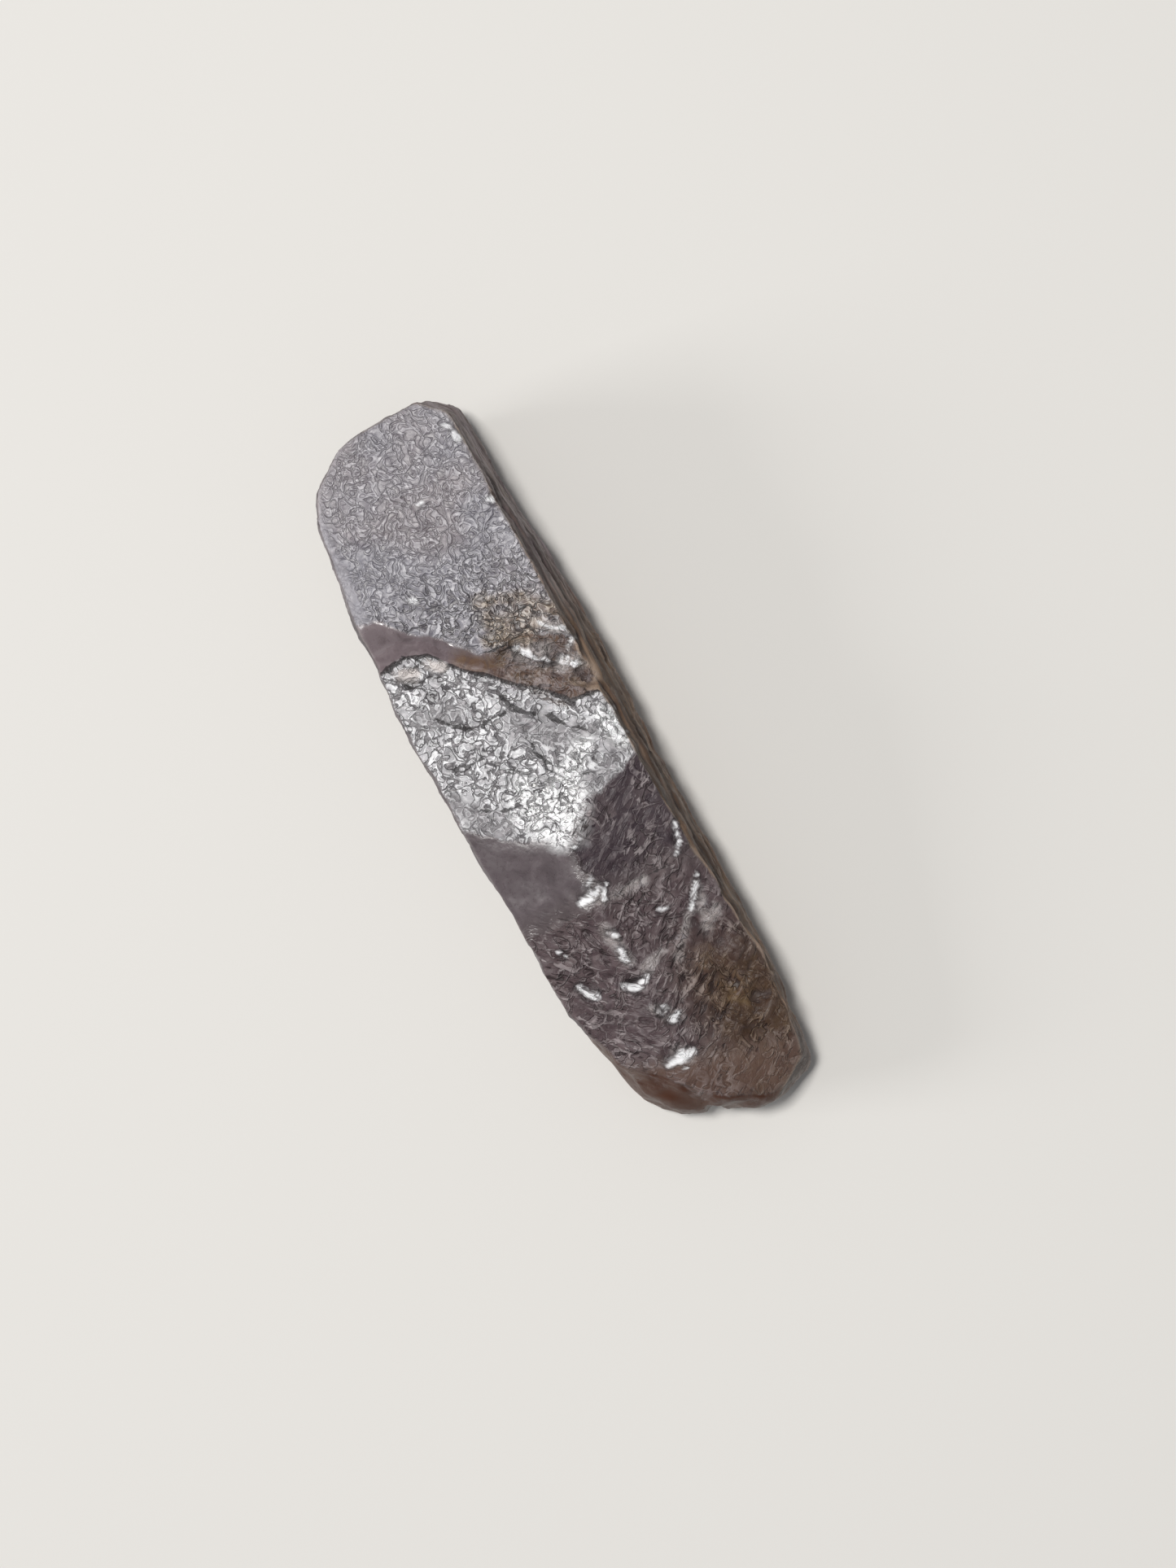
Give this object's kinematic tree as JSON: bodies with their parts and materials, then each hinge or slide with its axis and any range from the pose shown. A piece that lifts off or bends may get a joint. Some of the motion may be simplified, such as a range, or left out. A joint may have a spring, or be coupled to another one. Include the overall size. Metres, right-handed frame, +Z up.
{
  "type": "rough sapphire crystal",
  "caption": "Long, flattened rough sapphire crystal with worn edges, an etched front face, a stained groove across it and a broken, lobed base.",
  "frame": {"origin": "bottom centre of the bounding box, on the flat back face that the crystal rests on", "axes": "+X along the crystal's length, towards its rounded end; +Z up, out of the etched front face"},
  "size_m": [0.0216, 0.0064, 0.0042],
  "materials": {
    "sapphire": "frosted, etched, in places glossy"
  },
  "bodies": {
    "root": {"crystal": "sapphire"}
  },
  "joints": []
}
